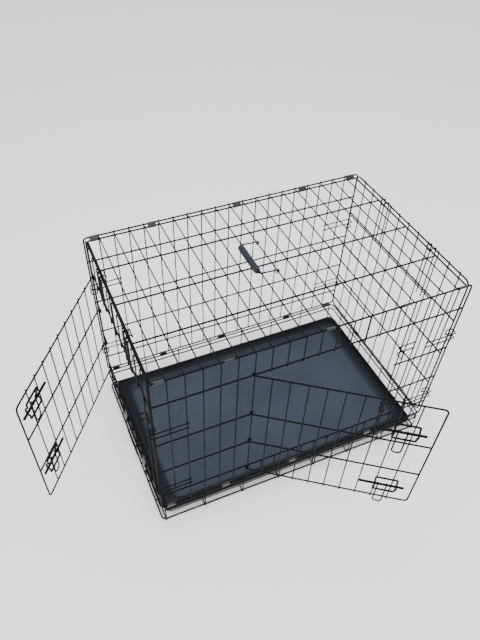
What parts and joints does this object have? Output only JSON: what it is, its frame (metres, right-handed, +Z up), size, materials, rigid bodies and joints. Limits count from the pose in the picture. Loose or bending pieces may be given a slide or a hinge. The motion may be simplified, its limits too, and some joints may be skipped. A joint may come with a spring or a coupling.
{
  "type": "wire dog crate",
  "caption": "Folding wire dog crate with a front door and an end door, slide-bolt latches, a lift-up handle and a tray that slides out under the end door.",
  "frame": {"origin": "centre of the crate body in plan, on the floor", "axes": "+X along the length towards the end without a door, -Y towards the front door, +Z up"},
  "size_m": [1.0125, 0.728, 0.5616],
  "materials": {
    "wire_coat": "satin black electro-coat on steel wire",
    "clip_steel": "satin black electro-coat on steel strip",
    "tray_plastic": "semi-gloss moulded plastic",
    "grip_plastic": "fine matt, with rings"
  },
  "bodies": {
    "crate": {"back_base_clips": "clip_steel", "back_corner_hooks": "wire_coat", "back_cross_wires": "wire_coat", "back_frame": "wire_coat", "back_top_clips": "clip_steel", "back_uprights": "wire_coat", "base_cross_wires_left": "wire_coat", "base_cross_wires_right": "wire_coat", "base_floor_rail": "wire_coat", "base_long_wires": "wire_coat", "base_mid_rail": "wire_coat", "base_rim_rail": "wire_coat", "front_base_clips": "clip_steel", "front_corner_hooks": "wire_coat", "front_cross_wires": "wire_coat", "front_frame": "wire_coat", "front_hinge_wire": "wire_coat", "front_keepers": "wire_coat", "front_latch_wire": "wire_coat", "front_lower_stubs": "wire_coat", "front_top_clips": "clip_steel", "front_upper_stubs": "wire_coat", "front_uprights": "wire_coat", "left_end_clips": "clip_steel", "right_end_clips": "clip_steel", "top_cross_wires": "wire_coat", "top_frame": "wire_coat", "top_long_wires": "wire_coat"},
    "left_end_panel": {"left_end_cross_wires": "wire_coat", "left_end_frame": "wire_coat", "left_end_keepers": "wire_coat", "left_end_stubs": "wire_coat", "left_end_top_hooks": "wire_coat", "left_end_uprights": "wire_coat"},
    "right_end_panel": {"right_end_cross_wires": "wire_coat", "right_end_frame": "wire_coat", "right_end_top_hooks": "wire_coat", "right_end_uprights": "wire_coat"},
    "front_door": {"front_door_cross_wires": "wire_coat", "front_door_frame": "wire_coat", "front_door_latch_rings": "wire_coat", "front_door_uprights": "wire_coat"},
    "left_door": {"left_door_cross_wires": "wire_coat", "left_door_frame": "wire_coat", "left_door_latch_rings": "wire_coat", "left_door_uprights": "wire_coat"},
    "tray": {"tray": "tray_plastic"},
    "pan_stop": {"pan_stop": "wire_coat"},
    "handle": {"handle_bail": "wire_coat", "handle_grip": "grip_plastic"},
    "front_door_lower_bolt": {"front_door_lower_bolt": "wire_coat"},
    "front_door_lower_loop": {"front_door_lower_loop": "wire_coat"},
    "front_door_upper_bolt": {"front_door_upper_bolt": "wire_coat"},
    "front_door_upper_loop": {"front_door_upper_loop": "wire_coat"},
    "left_door_lower_bolt": {"left_door_lower_bolt": "wire_coat"},
    "left_door_lower_loop": {"left_door_lower_loop": "wire_coat"},
    "left_door_upper_bolt": {"left_door_upper_bolt": "wire_coat"},
    "left_door_upper_loop": {"left_door_upper_loop": "wire_coat"}
  },
  "joints": [
    {"name": "front_door_hinge", "type": "hinge", "parent": "crate", "child": "front_door", "pos_m": [-0.152, -0.2454, 0.3], "axis": [0, 0, -1], "range_deg": [-35.6, 114.4]},
    {"name": "front_door_lower_bolt_slide", "type": "slide", "parent": "front_door", "child": "front_door_lower_bolt", "axis": [0.8131, -0.5821, 0], "range_m": [0, 0.018]},
    {"name": "front_door_lower_loop_swing", "type": "hinge", "parent": "front_door_lower_bolt", "child": "front_door_lower_loop", "pos_m": [0.10074, -0.44123, 0.185], "axis": [-0.8131, 0.5821, 0], "range_deg": [0, 100]},
    {"name": "front_door_upper_bolt_slide", "type": "slide", "parent": "front_door", "child": "front_door_upper_bolt", "axis": [0.8131, -0.5821, 0], "range_m": [0, 0.018]},
    {"name": "front_door_upper_loop_swing", "type": "hinge", "parent": "front_door_upper_bolt", "child": "front_door_upper_loop", "pos_m": [0.10074, -0.44123, 0.397], "axis": [-0.8131, 0.5821, 0], "range_deg": [0, 100]},
    {"name": "left_door_hinge", "type": "hinge", "parent": "left_end_panel", "child": "left_door", "pos_m": [-0.3794, 0.2, 0.3], "axis": [0, 0, 1], "range_deg": [-114, 36]},
    {"name": "left_door_lower_bolt_slide", "type": "slide", "parent": "left_door", "child": "left_door_lower_bolt", "axis": [-0.5878, -0.809, 0], "range_m": [0, 0.018]},
    {"name": "left_door_lower_loop_swing", "type": "hinge", "parent": "left_door_lower_bolt", "child": "left_door_lower_loop", "pos_m": [-0.58639, -0.06431, 0.176], "axis": [0.5878, 0.809, 0], "range_deg": [0, 100]},
    {"name": "left_door_upper_bolt_slide", "type": "slide", "parent": "left_door", "child": "left_door_upper_bolt", "axis": [-0.5878, -0.809, 0], "range_m": [0, 0.018]},
    {"name": "left_door_upper_loop_swing", "type": "hinge", "parent": "left_door_upper_bolt", "child": "left_door_upper_loop", "pos_m": [-0.58639, -0.06431, 0.395], "axis": [0.5878, 0.809, 0], "range_deg": [0, 100]},
    {"name": "left_end_fold", "type": "hinge", "parent": "crate", "child": "left_end_panel", "pos_m": [-0.376, 0, 0.079], "axis": [0, 1, 0], "range_deg": [0, 90]},
    {"name": "right_end_fold", "type": "hinge", "parent": "crate", "child": "right_end_panel", "pos_m": [0.376, 0, 0.079], "axis": [0, 1, 0], "range_deg": [-90, 0]},
    {"name": "tray_slide", "type": "slide", "parent": "crate", "child": "tray", "axis": [-1, 0, 0], "range_m": [0, 0.6]},
    {"name": "pan_stop_swing", "type": "hinge", "parent": "crate", "child": "pan_stop", "pos_m": [-0.381, 0, 0.064], "axis": [0, 1, 0], "range_deg": [0, 90]},
    {"name": "handle_swing", "type": "hinge", "parent": "crate", "child": "handle", "pos_m": [0, 0.021, 0.5464], "axis": [0, 1, 0], "range_deg": [0, 150]}
  ]
}
